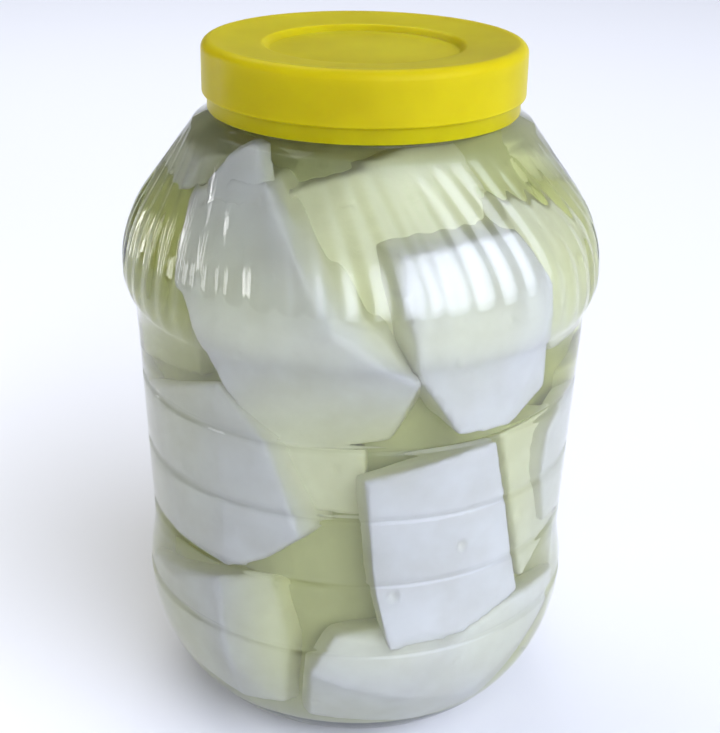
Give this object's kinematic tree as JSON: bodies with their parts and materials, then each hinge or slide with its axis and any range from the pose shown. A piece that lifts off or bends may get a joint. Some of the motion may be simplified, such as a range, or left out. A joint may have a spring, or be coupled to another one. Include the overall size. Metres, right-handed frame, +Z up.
{
  "type": "brined goat cheese in a jar",
  "caption": "Blocks of white brined goat cheese in a clear wide-mouthed plastic jar with a fluted shoulder, ringed body and yellow screw lid.",
  "frame": {"origin": "middle of the jar's standing ring, on the surface it stands on", "axes": "+Z up along the jar's axis, -Y towards the front that the blocks of cheese are set out for, +X to its right"},
  "size_m": [0.179, 0.1786, 0.263],
  "materials": {
    "jar": "clear blown PET, glossy",
    "lid": "moulded yellow plastic, satin",
    "cheese": "moist white cheese"
  },
  "bodies": {
    "root": {"jar": "jar", "lid": "lid", "cheese": "cheese"}
  },
  "joints": []
}
